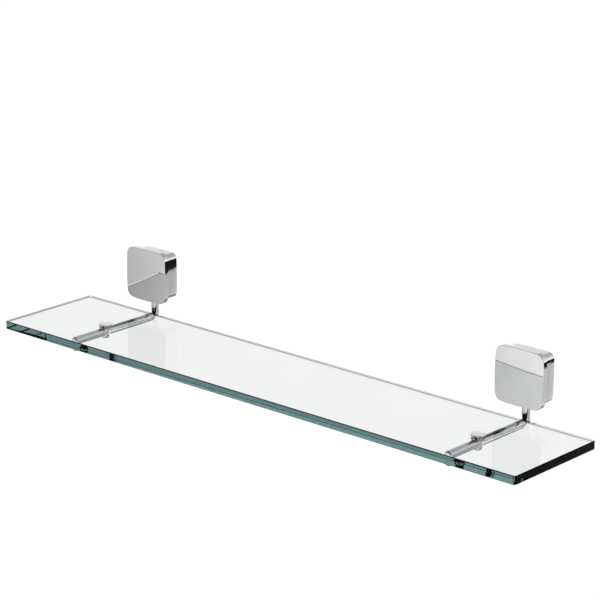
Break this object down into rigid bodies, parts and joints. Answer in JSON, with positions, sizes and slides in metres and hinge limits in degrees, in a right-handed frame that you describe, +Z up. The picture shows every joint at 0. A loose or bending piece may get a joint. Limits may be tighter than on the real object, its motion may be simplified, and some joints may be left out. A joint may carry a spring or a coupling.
{
  "type": "glass wall shelf",
  "caption": "Long narrow clear glass wall shelf with a green edge, held by square chromed wall brackets whose bent round rods run under the glass.",
  "frame": {"origin": "on the wall plane, midway between the two brackets, at the height of the bracket heads' centres", "axes": "+X to the right along the shelf, +Y into the wall, +Z up; the glass is in front of the wall, at negative Y"},
  "size_m": [0.6, 0.1293, 0.0806],
  "materials": {
    "glass": "clear, polished edges that look green",
    "chrome": "polished",
    "zinc_steel": "zinc plated, dull",
    "clear_plastic": "clear, smooth"
  },
  "bodies": {
    "root": {"glass_shelf": "glass", "left_cover": "chrome", "left_housing": "chrome", "left_rod": "chrome", "left_stud_cap": "chrome", "left_clamp_screw": "chrome", "left_stud_bushing": "clear_plastic", "left_glass_washer": "clear_plastic", "left_wall_plate": "zinc_steel", "left_cover_screw_upper": "zinc_steel", "left_cover_screw_lower": "zinc_steel", "left_rod_nut": "zinc_steel", "left_rod_washer": "zinc_steel", "left_grub_screw": "zinc_steel", "right_cover": "chrome", "right_housing": "chrome", "right_rod": "chrome", "right_stud_cap": "chrome", "right_clamp_screw": "chrome", "right_stud_bushing": "clear_plastic", "right_glass_washer": "clear_plastic", "right_wall_plate": "zinc_steel", "right_cover_screw_upper": "zinc_steel", "right_cover_screw_lower": "zinc_steel", "right_rod_nut": "zinc_steel", "right_rod_washer": "zinc_steel", "right_grub_screw": "zinc_steel"}
  },
  "joints": []
}
